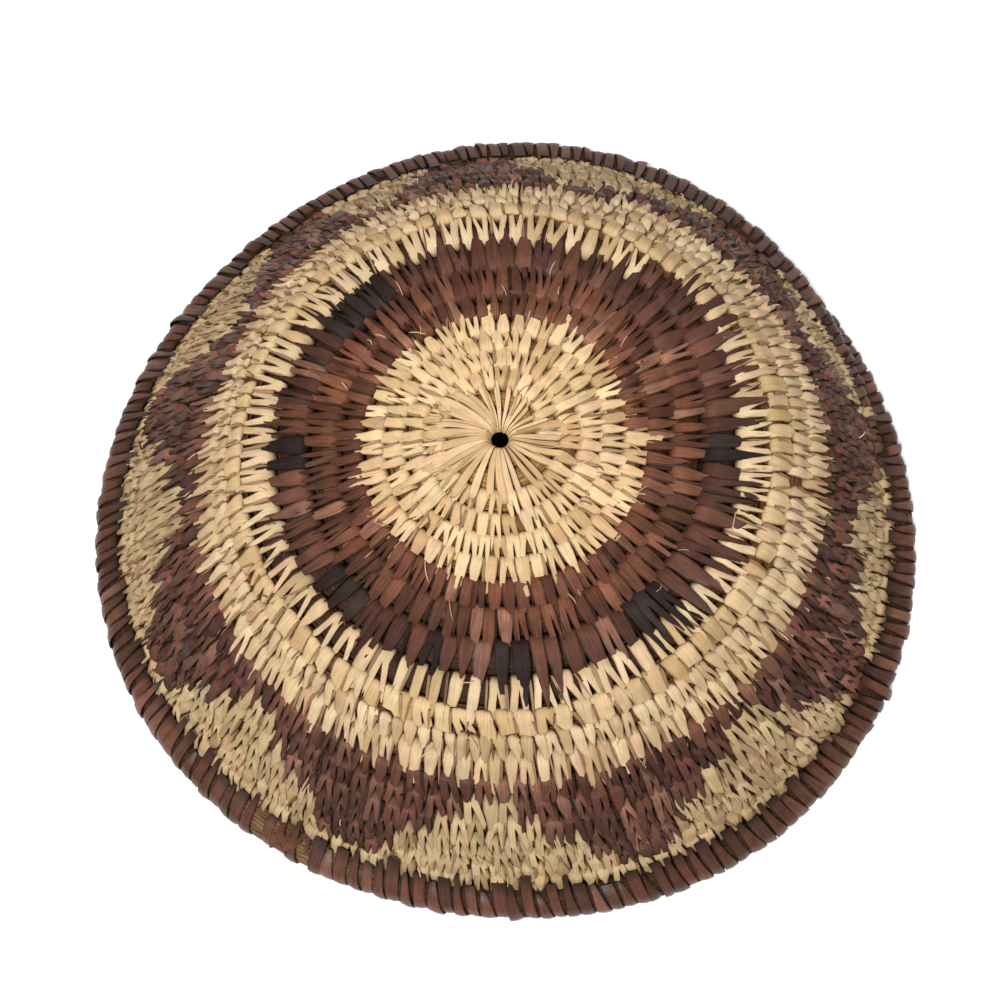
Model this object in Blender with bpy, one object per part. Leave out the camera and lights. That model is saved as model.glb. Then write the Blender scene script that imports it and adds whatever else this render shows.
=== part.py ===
"""Coiled basketry bowl, upside down on its rim, with its flat base uppermost.

A bundle of grass stems is coiled from the centre of the base out to the rim. Splints are sewn round it,
natural and dyed brown, and each run of one colour along the coil is a course. Places along the bowl are
given as a turn of the coil (whole turns from the +X side, counter-clockwise seen from above) and as a
reach, the distance from the centre of the base measured over the outer surface.
"""
import math

import bmesh
import bpy
from mathutils import Vector

# Rows of the coil, from the centre outwards, and the width of each
HOLE_RADIUS = 0.0045
START_ROWS = 2
START_PITCH = 0.0075
NATURAL_ROWS = 4
NATURAL_PITCH = 0.00755
BROWN_PITCHES = (0.0089, 0.0114, 0.0126)
EDGE_PITCH = 0.0103
CORNER_PITCH = 0.0100
NATURAL_WALL_ROWS = 2
NATURAL_WALL_PITCH = 0.0090
BROWN_WALL_PITCH = 0.0088
FIGURE_PITCHES = (0.0087, 0.0085, 0.0067, 0.0058, 0.0054, 0.0061)
RIM_PITCH = 0.0144

# Thickness of the sewn coil through the wall, at most its row's width. The rim stands out on both faces.
START_THICKNESS = 0.0068
NATURAL_THICKNESS = 0.0075
WALL_THICKNESS = 0.0088
RIM_THICKNESS = 0.0144

# Splints and fits
SPLINT_THICKNESS = 0.0008
RIM_WRAP_THICKNESS = 0.0018
GAP = 0.0003
RIM_FLAT_DEPTH = 0.0005
THINNEST_ROW = 0.0044
BUNDLE_END = 0.0030

# Slope of the wall below level, at the corner and at the rim
WALL_SLOPE_TOP = math.radians(36.5)
WALL_SLOPE_RIM = math.radians(43.5)

# The rim is not quite round
RIM_WAVE = 0.0026
RIM_WAVES = 3
RIM_WAVE_ANGLE = math.radians(75)

# Each turn runs level, then moves out by one row over this part of the turn
SHIFT_ANGLE = -10.0
SHIFT_SPAN = 70.0
CENTRE_SHIFT_SPAN = 130.0

# Colour changes along the coil, in degrees
BASE_BROWN_FROM = 0.0
BASE_BROWN_TO = 48.0
WALL_BROWN_FROM = 68.0

# Figures on the wall: natural tips point to the base, brown tips to the rim, in degrees round the bowl.
# A course that meets a slanted side ends this share of a row beyond it. From the last angle on, the rim's
# own row lies beside the figures, and they have one row less.
NATURAL_TIPS = (74.0, 110.0, 147.0, 184.0, 224.0, 267.0, 308.0, 348.0, 384.0)
BROWN_TIPS = (93.0, 126.0, 166.0, 202.0, 244.0, 289.0, 327.0, 364.5, 404.0)
TIP_WIDTH = 9.0
COURSE_END_CLEARANCE = 0.5
RIM_BESIDE_FROM = 365.0

# Outline of one row: flat share of its crest, and how far the valleys stand from its middle
CREST_SHARE = 0.5
OUTER_VALLEY = 0.55
INNER_VALLEY = 0.70
RIM_SIDES = 8

# Points along one turn, the share of a turn below which two places are one, and the step that finds
# the thin ends of the coil
ROW_POINTS = 17
SAME_TURN = 0.0001
END_STEP = 0.002

FIRST_BROWN = START_ROWS + NATURAL_ROWS
FIRST_EDGE = FIRST_BROWN + len(BROWN_PITCHES)
BASE_ROWS = FIRST_EDGE + 2
BROWN_WALL_ROW = BASE_ROWS + NATURAL_WALL_ROWS
FIRST_FIGURE = BROWN_WALL_ROW + 1
FIGURE_ROWS = len(FIGURE_PITCHES)
RIM_ROW = FIRST_FIGURE + FIGURE_ROWS
STEP = 1 / ROW_POINTS

NATURAL_COLOUR = (0.68, 0.51, 0.27, 1.0)
BROWN_COLOUR = (0.125, 0.052, 0.032, 1.0)
SPLINT_ROUGHNESS = 0.6
STEM_COLOUR = (0.25, 0.13, 0.045, 1.0)
STEM_ROUGHNESS = 0.7
SHARP_ANGLE = math.radians(50)


def row_values():
    """Width and thickness of every level row, from the centre to the rim."""
    rows = [(START_PITCH, START_THICKNESS)] * START_ROWS
    rows += [(NATURAL_PITCH, NATURAL_THICKNESS)] * NATURAL_ROWS
    widths = BROWN_PITCHES + (EDGE_PITCH, CORNER_PITCH) + (NATURAL_WALL_PITCH,) * NATURAL_WALL_ROWS
    widths += (BROWN_WALL_PITCH,) + FIGURE_PITCHES
    rows += [(width, WALL_THICKNESS) for width in widths]
    return rows + [(RIM_PITCH, RIM_THICKNESS)]


ROWS = row_values()
EDGES = [HOLE_RADIUS + sum(width for width, _ in ROWS[:row]) for row in range(len(ROWS) + 1)]


def stepped(turn, levels):
    """A value that is level along each turn and moves to the next level in the shift."""
    since_shift = turn - SHIFT_ANGLE / 360
    row = math.floor(since_shift)
    centre_share = max(0.0, 1 - max(row, 0) / FIRST_BROWN)
    span = SHIFT_SPAN + (CENTRE_SHIFT_SPAN - SHIFT_SPAN) * centre_share
    share = min(1.0, (since_shift - row) * 360 / span)
    share = share * share * (3 - 2 * share)
    last = len(levels) - 1
    before = levels[min(max(row - 1, 0), last)]
    after = levels[min(max(row, 0), last)]
    return before + (after - before) * share


def row_edge(turn):
    """Reach of the inner edge of the coil at this turn."""
    return stepped(turn, EDGES)


def row_width(turn):
    return row_edge(turn + 1) - row_edge(turn)


def middle_depth(turn):
    """Depth of the coil's middle under the outer surface."""
    return stepped(turn, [min(thickness, WALL_THICKNESS) for _, thickness in ROWS]) / 2


def half_thickness(turn):
    return min(stepped(turn, [thickness for _, thickness in ROWS]), row_width(turn)) / 2


def bundle_radius(turn):
    """Radius of the stem bundle, inside its splints and their gaps."""
    wraps = [SPLINT_THICKNESS] * RIM_ROW + [RIM_WRAP_THICKNESS]
    inside = min(half_thickness(turn), (row_width(turn) - GAP) / 2)
    return inside - GAP - stepped(turn, wraps)


CORNER_MIDDLE = EDGES[BASE_ROWS - 1] + CORNER_PITCH / 2
CORNER_START = CORNER_MIDDLE - CORNER_PITCH / 2
CORNER_END = CORNER_MIDDLE + CORNER_PITCH / 2
RIM_MIDDLE = EDGES[RIM_ROW] + RIM_PITCH / 2


def arc_step(length, slope_from, slope_to, along):
    """Advance and drop along an arc whose slope changes steadily."""
    bend = (slope_to - slope_from) / length
    slope = slope_from + bend * along
    advance = (math.sin(slope) - math.sin(slope_from)) / bend
    drop = (math.cos(slope_from) - math.cos(slope)) / bend
    return advance, drop, slope


def outer_surface(reach):
    """Radius, drop below the base and slope of the outer surface."""
    if reach <= CORNER_START:
        return reach, 0.0, 0.0
    along = min(reach, CORNER_END) - CORNER_START
    advance, drop, slope = arc_step(CORNER_PITCH, 0.0, WALL_SLOPE_TOP, along)
    radius = CORNER_START + advance
    if reach > CORNER_END:
        wall_length = RIM_MIDDLE - CORNER_END
        more, fall, slope = arc_step(wall_length, WALL_SLOPE_TOP, WALL_SLOPE_RIM, reach - CORNER_END)
        radius += more
        drop += fall
    return radius, drop, slope


def section_point(reach, depth):
    """Radius and drop of a point at a depth under the outer surface."""
    radius, drop, slope = outer_surface(reach)
    return radius - depth * math.sin(slope), drop + depth * math.cos(slope)


def rim_outline(turn):
    """The rim's section as reach and depth, an eight-sided ring round the bundle."""
    half_width = (row_width(turn) - GAP) / 2
    half = half_thickness(turn)
    middle = row_edge(turn) + row_width(turn) / 2
    points = []
    for side in range(RIM_SIDES):
        angle = 2 * math.pi * (side + 0.5) / RIM_SIDES
        points.append((middle - half_width * math.cos(angle), middle_depth(turn) - half * math.sin(angle)))
    return points


def base_height():
    """Height of the base, with the rim cut flat at the floor."""
    level_turn = RIM_ROW + 0.5
    lowest = max(section_point(reach, depth)[1] for reach, depth in rim_outline(level_turn))
    return lowest - RIM_FLAT_DEPTH


BASE_HEIGHT = base_height()


def placed(turn, reach, depth):
    """A point of the bowl at this turn, reach and depth under the outer surface."""
    radius, drop = section_point(reach, depth)
    angle = 2 * math.pi * turn
    down_wall = max(0.0, reach - CORNER_END) / (RIM_MIDDLE - CORNER_END)
    radius += RIM_WAVE * down_wall * math.cos(RIM_WAVES * (angle - RIM_WAVE_ANGLE))
    return Vector((radius * math.cos(angle), radius * math.sin(angle), BASE_HEIGHT - drop))


def end_turn(step):
    """Where the tapered end of the coil is as thin as it gets, from either end."""
    turn = SHIFT_ANGLE / 360 + (0 if step > 0 else len(ROWS) + 1)
    while row_width(turn) < THINNEST_ROW:
        turn += step
    return turn


COIL_START = end_turn(END_STEP)
COIL_END = end_turn(-END_STEP)


def coil_stations():
    """Turns at which the coil has a point: its ends and even steps between."""
    stations = [COIL_START]
    turn = (math.floor(COIL_START / STEP) + 1) * STEP
    while turn < COIL_END - STEP / 3:
        stations.append(turn)
        turn += STEP
    return stations + [COIL_END]


STATIONS = coil_stations()


def coil_middle(turn):
    return placed(turn, row_edge(turn) + row_width(turn) / 2, middle_depth(turn))


def row_outline(first, last):
    """Outline of rows lying side by side, as a function of the turn of the first one."""
    def outline(turn):
        outer = []
        inner = []
        for row in range(last - first + 1):
            at = turn + row
            start = row_edge(at) + (GAP / 2 if row == 0 else 0)
            end = row_edge(at + 1) - (GAP / 2 if row == last - first else 0)
            middle = (start + end) / 2
            depth = middle_depth(at)
            half = half_thickness(at)
            crest = CREST_SHARE * (end - start) / 2
            if row == 0:
                outer.append((start, depth - half * OUTER_VALLEY))
                inner.append((start, depth + half * INNER_VALLEY))
            outer += [(middle - crest, depth - half), (middle + crest, depth - half)]
            outer.append((end, depth - half * OUTER_VALLEY))
            inner += [(middle, depth + half), (end, depth + half * INNER_VALLEY)]
        return outer + inner[::-1]
    return outline


def section_ring(outline, turn):
    """Points of a section; between two stations they lie on the straight run."""
    below = math.floor((turn + SAME_TURN * STEP) / STEP) * STEP
    share = (turn - below) / STEP
    ring = [placed(below, reach, depth) for reach, depth in outline(below)]
    if share < SAME_TURN:
        return ring
    after = [placed(below + STEP, reach, depth) for reach, depth in outline(below + STEP)]
    return [a.lerp(b, share) for a, b in zip(ring, after)]


def sweep(name, outline, start, end):
    """A closed solid swept along the coil through every station between its ends."""
    turns = [start]
    turn = (math.floor((start + SAME_TURN * STEP) / STEP) + 1) * STEP
    while turn < end - SAME_TURN:
        if turn > start + SAME_TURN:
            turns.append(turn)
        turn += STEP
    turns.append(end)
    bm = bmesh.new()
    rings = [[bm.verts.new(point) for point in section_ring(outline, turn)] for turn in turns]
    for ring, after in zip(rings, rings[1:]):
        for i, vert in enumerate(ring):
            j = (i + 1) % len(ring)
            bm.faces.new((vert, ring[j], after[j], after[i]))
    bm.faces.new(rings[0][::-1])
    bm.faces.new(rings[-1])
    bmesh.ops.recalc_face_normals(bm, faces=bm.faces)
    mesh = bpy.data.meshes.new(name)
    bm.to_mesh(mesh)
    bm.free()
    return mesh


def finish(name, colour, roughness):
    material = bpy.data.materials.new(name + "_finish")
    material.use_nodes = True
    shader = material.node_tree.nodes["Principled BSDF"]
    shader.inputs["Base Color"].default_value = colour
    shader.inputs["Roughness"].default_value = roughness
    shader.inputs["Metallic"].default_value = 0.0
    return material


def place_splints(name, mesh, colour):
    mesh.materials.append(finish(name, colour, SPLINT_ROUGHNESS))
    part = bpy.data.objects.new(name, mesh)
    BOWL.objects.link(part)
    return part


def cut_away(part, cutter):
    cut = part.modifiers.new("cut_" + cutter.name, "BOOLEAN")
    cut.operation = "DIFFERENCE"
    cut.solver = "EXACT"
    cut.object = cutter


def coil_curve(name, margin):
    """The coiled bundle as a curve, thicker all round by a margin."""
    curve = bpy.data.curves.new(name, "CURVE")
    curve.dimensions = "3D"
    curve.twist_mode = "Z_UP"
    curve.bevel_depth = WALL_THICKNESS / 2
    curve.bevel_resolution = 1
    curve.use_fill_caps = True
    spline = curve.splines.new("POLY")
    spline.points.add(len(STATIONS) - 1)
    for point, turn in zip(spline.points, STATIONS):
        point.co = (*coil_middle(turn), 1.0)
        point.radius = (bundle_radius(turn) + margin) / curve.bevel_depth
    return curve


def least_coil_gap():
    """Least clear distance between neighbouring turns of the bundle."""
    middles = [(turn, coil_middle(turn), bundle_radius(turn)) for turn in STATIONS]
    least = 1.0
    for turn, middle, radius in middles:
        for other_turn, other, other_radius in middles:
            if 0.7 < other_turn - turn < 1.3:
                least = min(least, (other - middle).length - radius - other_radius)
    return least


def make_foundation():
    part = bpy.data.objects.new("foundation_coil", coil_curve("foundation_coil", 0.0))
    part.data.materials.append(finish("foundation_coil", STEM_COLOUR, STEM_ROUGHNESS))
    BOWL.objects.link(part)
    print(f"Least gap of the coil to itself: {least_coil_gap() * 1000:.2f} mm")


def make_bundle_cutter():
    """The room that the splints leave for the bundle, as a closed mesh."""
    room = bpy.data.objects.new("bundle_room_curve", coil_curve("bundle_room_curve", GAP / math.cos(math.pi / 6)))
    CUTTERS.objects.link(room)
    bpy.context.view_layer.update()
    evaluated = room.evaluated_get(bpy.context.evaluated_depsgraph_get())
    mesh = bpy.data.meshes.new_from_object(evaluated)
    bm = bmesh.new()
    bm.from_mesh(mesh)
    bmesh.ops.remove_doubles(bm, verts=bm.verts, dist=0.00001)
    bm.to_mesh(mesh)
    bm.free()
    cutter = bpy.data.objects.new("bundle_room", mesh)
    cutter.matrix_world = room.matrix_world
    bpy.data.objects.remove(room)
    return hide_cutter(cutter)


def make_floor_cutter():
    """A block below the floor, which cuts the rim flat."""
    bm = bmesh.new()
    side = 3 * outer_surface(RIM_MIDDLE)[0]
    bmesh.ops.create_cube(bm, size=side)
    bmesh.ops.translate(bm, verts=bm.verts, vec=(0, 0, -side / 2))
    mesh = bpy.data.meshes.new("floor_block")
    bm.to_mesh(mesh)
    bm.free()
    return hide_cutter(bpy.data.objects.new("floor_block", mesh))


def hide_cutter(cutter):
    cutter.hide_render = True
    cutter.display_type = "WIRE"
    CUTTERS.objects.link(cutter)
    return cutter


def shade_round(mesh):
    mesh.shade_smooth()
    mesh.set_sharp_from_angle(angle=SHARP_ANGLE)


def make_course(name, start, end, colour, outline=None):
    """One run of splints sewn round the coil between two turns."""
    radius = placed(start, row_edge(start), 0.0).to_2d().length
    trim = GAP / 2 / (2 * math.pi * radius)
    mesh = sweep(name, outline or row_outline(0, 0), start + trim, end - trim)
    shade_round(mesh)
    part = place_splints(name, mesh, colour)
    cut_away(part, BUNDLE_ROOM)
    return part


def make_base_courses():
    first_shift = SHIFT_ANGLE / 360
    make_course("centre_fan", COIL_START, START_ROWS + first_shift, NATURAL_COLOUR)
    for row in range(NATURAL_ROWS):
        start = START_ROWS + row + first_shift
        end = start + 1 if row < NATURAL_ROWS - 1 else FIRST_BROWN + BASE_BROWN_FROM / 360
        make_course(f"natural_base_course_{row + 1}", start, end, NATURAL_COLOUR)
    for row in range(FIRST_BROWN, FIRST_EDGE):
        start = row + (BASE_BROWN_FROM / 360 if row == FIRST_BROWN else first_shift)
        end = row + 1 + (BASE_BROWN_TO / 360 if row == FIRST_EDGE - 1 else first_shift)
        make_course(f"brown_base_course_{row - FIRST_BROWN + 1}", start, end, BROWN_COLOUR)
    make_course("edge_course", FIRST_EDGE + BASE_BROWN_TO / 360, FIRST_EDGE + 1 + first_shift, NATURAL_COLOUR)
    make_course("corner_course", FIRST_EDGE + 1 + first_shift, FIRST_EDGE + 2 + first_shift, NATURAL_COLOUR)


def figure_side(natural_tip, brown_tip, top_sign):
    """Side of a figure: its angle in degrees at the top and the bottom of the pattern."""
    half_tip = TIP_WIDTH / 2
    return natural_tip + top_sign * half_tip, brown_tip - top_sign * half_tip


def side_angle(side, rows, past=0.0):
    """Angle of a figure's side after so many rows of the pattern and a share of the next."""
    down = sum(FIGURE_PITCHES[:rows]) + past * FIGURE_PITCHES[rows]
    return side[0] + (side[1] - side[0]) * down / sum(FIGURE_PITCHES)


def make_wall_courses():
    first_shift = SHIFT_ANGLE / 360
    brown_from = BROWN_WALL_ROW + WALL_BROWN_FROM / 360
    for row in range(BASE_ROWS, BROWN_WALL_ROW):
        start = row + first_shift
        end = start + 1 if row < BROWN_WALL_ROW - 1 else brown_from
        make_course(f"natural_wall_course_{row - BASE_ROWS + 1}", start, end, NATURAL_COLOUR)
    first_side = figure_side(NATURAL_TIPS[0], BROWN_TIPS[-1] - 360, -1)
    brown_to = FIRST_FIGURE + side_angle(first_side, 1, COURSE_END_CLEARANCE) / 360
    make_course("brown_wall_course", brown_from, brown_to, BROWN_COLOUR)


def side_plane(side):
    """A plane along a figure's side, square to the wall."""
    top = placed(side[0] / 360, row_edge(FIRST_FIGURE + side[0] / 360), 0.0)
    bottom = placed(side[1] / 360, row_edge(RIM_ROW + side[1] / 360), 0.0)
    middle_turn = (side[0] + side[1]) / 720
    reach = row_edge(FIRST_FIGURE + FIGURE_ROWS / 2 + middle_turn)
    through = placed(middle_turn, reach, 0.0) - placed(middle_turn, reach, WALL_THICKNESS)
    return (top + bottom) / 2, (bottom - top).cross(through).normalized()


def trim_side(bm, side, keep):
    """Cut a figure along its side and close the cut."""
    point, normal = side_plane(side)
    outward = normal * keep
    cut = bmesh.ops.bisect_plane(
        bm, geom=bm.verts[:] + bm.edges[:] + bm.faces[:], dist=0.000001,
        plane_co=point - outward * GAP / 2, plane_no=outward, clear_outer=True)
    edges = [item for item in cut["geom_cut"] if isinstance(item, bmesh.types.BMEdge)]
    bmesh.ops.edgeloop_fill(bm, edges=edges)
    bmesh.ops.recalc_face_normals(bm, faces=bm.faces)


def make_figure(name, left, right, rows, colour):
    """Courses of one colour that make a slanted figure, between its two sides."""
    margin = 0.3 * STEP
    start = FIRST_FIGURE + min(left) / 360 - margin
    end = FIRST_FIGURE + max(right) / 360 + margin
    if end < start:
        end += 1
    mesh = sweep(name, row_outline(0, rows - 1), start, end)
    bm = bmesh.new()
    bm.from_mesh(mesh)
    trim_side(bm, left, 1)
    trim_side(bm, right, -1)
    bm.to_mesh(mesh)
    bm.free()
    shade_round(mesh)
    part = place_splints(name, mesh, colour)
    cut_away(part, BUNDLE_ROOM)


def make_figures():
    brown_before = (BROWN_TIPS[-1] - 360,) + BROWN_TIPS[:-1]
    lefts = [figure_side(tip, brown, -1) for tip, brown in zip(NATURAL_TIPS, brown_before)]
    rights = [figure_side(tip, brown, 1) for tip, brown in zip(NATURAL_TIPS, BROWN_TIPS)]
    for i, (left, right) in enumerate(zip(lefts, rights)):
        after = lefts[(i + 1) % len(lefts)]
        make_figure(f"natural_figure_{i + 1}", left, right, figure_rows(left), NATURAL_COLOUR)
        make_figure(f"brown_figure_{i + 1}", right, after, figure_rows(right), BROWN_COLOUR)


def figure_rows(left):
    """Rows in a figure: one less once the rim's own row has begun beside it."""
    return FIGURE_ROWS if left[1] < RIM_BESIDE_FROM else FIGURE_ROWS - 1


def rim_start():
    """The rim's row begins past the last figure that is as tall as the pattern."""
    last_full = max(i for i, tip in enumerate(BROWN_TIPS) if figure_rows((0, tip - TIP_WIDTH / 2)) == FIGURE_ROWS)
    side = figure_side(NATURAL_TIPS[last_full + 1], BROWN_TIPS[last_full], -1)
    return RIM_ROW - 1 + side_angle(side, FIGURE_ROWS - 1) / 360


def make_rim():
    """The rim's wraps, which stop short of the bundle's bare end."""
    end = COIL_END - BUNDLE_END / (2 * math.pi * coil_middle(COIL_END).to_2d().length)
    rim = make_course("rim_binding", rim_start(), end, BROWN_COLOUR, rim_outline)
    cut_away(rim, make_floor_cutter())


for old in list(bpy.data.objects):
    bpy.data.objects.remove(old)

BOWL = bpy.data.collections.new("coiled_bowl")
CUTTERS = bpy.data.collections.new("cutters")
bpy.context.scene.collection.children.link(BOWL)
bpy.context.scene.collection.children.link(CUTTERS)

BUNDLE_ROOM = make_bundle_cutter()
make_foundation()
make_base_courses()
make_wall_courses()
make_figures()
make_rim()
RIM_REACH = section_point(RIM_MIDDLE, WALL_THICKNESS / 2)[0] + RIM_THICKNESS / 2
print(f"Base height {BASE_HEIGHT * 1000:.1f} mm, mean rim radius {RIM_REACH * 1000:.1f} mm")
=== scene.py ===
import math
import bpy
import numpy as np
from mathutils import Matrix, Vector


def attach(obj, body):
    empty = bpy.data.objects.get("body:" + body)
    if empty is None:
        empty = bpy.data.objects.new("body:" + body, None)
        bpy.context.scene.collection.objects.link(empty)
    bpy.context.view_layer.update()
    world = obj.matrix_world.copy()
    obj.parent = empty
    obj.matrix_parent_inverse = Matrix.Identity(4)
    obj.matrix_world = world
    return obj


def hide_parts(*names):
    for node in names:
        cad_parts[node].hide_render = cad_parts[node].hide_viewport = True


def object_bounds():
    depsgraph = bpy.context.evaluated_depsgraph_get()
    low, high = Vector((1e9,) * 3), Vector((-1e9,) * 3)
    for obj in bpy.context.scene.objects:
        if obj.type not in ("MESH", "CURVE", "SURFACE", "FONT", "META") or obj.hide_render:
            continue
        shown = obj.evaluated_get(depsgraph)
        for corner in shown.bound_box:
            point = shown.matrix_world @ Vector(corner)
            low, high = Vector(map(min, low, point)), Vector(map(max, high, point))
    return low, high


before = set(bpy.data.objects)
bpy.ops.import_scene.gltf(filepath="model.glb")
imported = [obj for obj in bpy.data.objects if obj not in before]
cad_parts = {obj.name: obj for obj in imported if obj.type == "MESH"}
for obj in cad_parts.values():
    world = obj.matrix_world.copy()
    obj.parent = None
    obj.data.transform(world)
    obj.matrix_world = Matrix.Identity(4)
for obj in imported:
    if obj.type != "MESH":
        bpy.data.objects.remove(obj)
cad_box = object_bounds()
chance = np.random.default_rng(41)


# The foundation is one bundle of dry grass stems, coiled counter-clockwise from the centre of the base
# out to the rim. It shows as fine lines along the coil wherever the stitches leave a gap. Places are
# given as a turn of the coil, a reach over the outer surface from the centre, and a depth under it.
ROW_WIDTHS = np.array([
    0.0075, 0.0075, 0.00755, 0.00755, 0.00755, 0.00755, 0.0089, 0.0114, 0.0126, 0.0103, 0.0100,
    0.0090, 0.0090, 0.0088, 0.0087, 0.0085, 0.0067, 0.0058, 0.0054, 0.0061, 0.0144])
FIRST_REACH = 0.0045
START_THICKNESS = 0.0068
BASE_THICKNESS = 0.0075
WALL_THICKNESS = 0.0088
RIM_THICKNESS = 0.0144
FIRST_BROWN_ROW = 6
EDGE_ROW = 9
CORNER_ROW = 10
FIRST_WALL_ROW = 12
RIM_ROW = 20
SLOPE_TOP = math.radians(36.5)
SLOPE_RIM = math.radians(43.5)
SHIFT_FROM = -10 / 360
SHIFT_DEGREES = 70
MORE_AT_CENTRE = 60
ROW_EDGES = FIRST_REACH + np.concatenate([[0.0], np.cumsum(ROW_WIDTHS)])
up_to_rim = [START_THICKNESS] * 2 + [BASE_THICKNESS] * 4 + [WALL_THICKNESS] * 14
ROW_THICKNESS = np.minimum(np.array(up_to_rim + [RIM_THICKNESS]), ROW_WIDTHS)
ROW_DEPTH = np.array(up_to_rim + [WALL_THICKNESS]) / 2
corner_start = ROW_EDGES[CORNER_ROW]
corner_end = ROW_EDGES[CORNER_ROW + 1]
rim_middle = (ROW_EDGES[RIM_ROW] + ROW_EDGES[RIM_ROW + 1]) / 2


def along_coil(turn, levels):
    """A measure that has a level in each row, and goes over to it in the first part of the row."""
    since = np.asarray(turn, float) - SHIFT_FROM
    row = np.floor(since)
    near_centre = np.clip(1 - np.maximum(row, 0) / FIRST_BROWN_ROW, 0, 1)
    share = np.minimum(1, (since - row) * 360 / (SHIFT_DEGREES + MORE_AT_CENTRE * near_centre))
    share = share * share * (3 - 2 * share)
    last = len(levels) - 1
    before = levels[np.clip(row - 1, 0, last).astype(int)]
    after = levels[np.clip(row, 0, last).astype(int)]
    return before + (after - before) * share


def row_edge(turn):
    """Reach of the inner edge of the row that the coil is in at a turn."""
    return along_coil(turn, ROW_EDGES)


def arc(length, slope_from, slope_to, along):
    """How far out and down an evenly bent stretch has led after a length of it, and its slope there."""
    bend = (slope_to - slope_from) / length
    slope = slope_from + bend * along
    advance = (np.sin(slope) - np.sin(slope_from)) / bend
    drop = (np.cos(slope_from) - np.cos(slope)) / bend
    return advance, drop, slope


def bowl_surface(reach):
    """Radius, drop below the base's top and slope of the bowl's outer surface at a reach."""
    reach = np.asarray(reach, float)
    on_corner = np.clip(reach, corner_start, corner_end) - corner_start
    advance, drop, slope = arc(corner_end - corner_start, 0.0, SLOPE_TOP, on_corner)
    on_wall = np.maximum(reach - corner_end, 0)
    more, fall, wall_slope = arc(rim_middle - corner_end, SLOPE_TOP, SLOPE_RIM, on_wall)
    radius = np.minimum(reach, corner_start) + advance + more
    return radius, drop + fall, np.where(reach > corner_end, wall_slope, slope)


base_top = cad_box[1][2]
CENTRE_OFF = (-0.0015, 0.0036)
TRUE_FROM = 0.060
NARROW_SIDE = math.radians(167)
NARROWER_BY = 0.0078
WIDE_SIDE = math.radians(20)
WIDER_BY = 0.0068
UNEVEN_REACHES = [0.095, 0.119, 0.127, 0.152]
UNEVEN_SHARES = [0, 1, 0.65, 0]
RIM_WAVE = 0.0026
RIM_WAVE_SIDE = math.radians(75)
RIM_WAVES = 3
PRESSED_BELOW = 0.0022
PRESSED_LEAST = 0.0002


def lay(angle, reach, depth):
    """A place on the bowl. The first turns lie off the middle, as the maker started them by eye, and the
    rows over the corner are tighter on one side than on the other. The rim is pressed flat below."""
    narrow = NARROWER_BY * np.exp(6 * (np.cos(angle - NARROW_SIDE) - 1))
    wide = WIDER_BY * np.exp(8 * (np.cos(angle - WIDE_SIDE) - 1))
    reach = reach + np.interp(reach, UNEVEN_REACHES, UNEVEN_SHARES) * (wide - narrow)
    radius, drop, slope = bowl_surface(reach)
    down_wall = np.maximum(0, reach - corner_end) / (rim_middle - corner_end)
    wave = RIM_WAVE * down_wall * np.cos(RIM_WAVES * (angle - RIM_WAVE_SIDE))
    out = radius - depth * np.sin(slope) + wave
    height = base_top - drop - depth * np.cos(slope)
    press = PRESSED_BELOW - PRESSED_LEAST
    pressed = PRESSED_LEAST + press * np.exp(np.minimum(height - PRESSED_BELOW, 0) / press)
    height = np.where(height < PRESSED_BELOW, pressed, height)
    off = np.clip(1 - reach / TRUE_FROM, 0, 1)
    places = out * np.cos(angle) + CENTRE_OFF[0] * off, out * np.sin(angle) + CENTRE_OFF[1] * off, height
    return np.stack(np.broadcast_arrays(*places), -1)


def colour(red, green, blue):
    """Levels of a colour as Blender wants them, from levels of 0 to 255 as on a screen."""
    levels = np.array([red, green, blue]) / 255
    return np.where(levels <= 0.04045, levels / 12.92, ((levels + 0.055) / 1.055) ** 2.4)


SHARP_EDGE = math.radians(55)


def make_piece(name, points, faces, sheet, lie, tone):
    """A piece with its grain in millimetres, its place on the splint (side, end) and its tone."""
    mesh = bpy.data.meshes.new(name)
    mesh.from_pydata(points.reshape(-1, 3).tolist(), [], faces)
    mesh.polygons.foreach_set("use_smooth", [True] * len(mesh.polygons))
    corner = np.empty(len(mesh.loops), dtype=np.int32)
    mesh.loops.foreach_get("vertex_index", corner)
    for layer, values in (("grain", sheet), ("lie", lie)):
        flat = mesh.uv_layers.new(name=layer)
        flat.data.foreach_set("uv", values.reshape(-1, 2)[corner].astype(np.float32).ravel())
    paint = mesh.color_attributes.new("tone", "FLOAT_COLOR", "POINT")
    tone = np.concatenate([tone.reshape(-1, 3), np.ones((tone.size // 3, 1))], axis=1)
    paint.data.foreach_set("color", tone.astype(np.float32).ravel())
    mesh.set_sharp_from_angle(angle=SHARP_EDGE)
    piece = bpy.data.objects.new(name, mesh)
    bpy.context.scene.collection.objects.link(piece)
    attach(piece, "root")
    return piece


def new_material(name, roughness, gloss=0.25):
    material = bpy.data.materials.new(name)
    material.use_nodes = True
    nodes = material.node_tree.nodes
    shader = nodes["Principled BSDF"]
    shader.inputs["Roughness"].default_value = roughness
    shader.inputs["Specular IOR Level"].default_value = gloss
    return material, nodes, material.node_tree.links, shader


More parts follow.
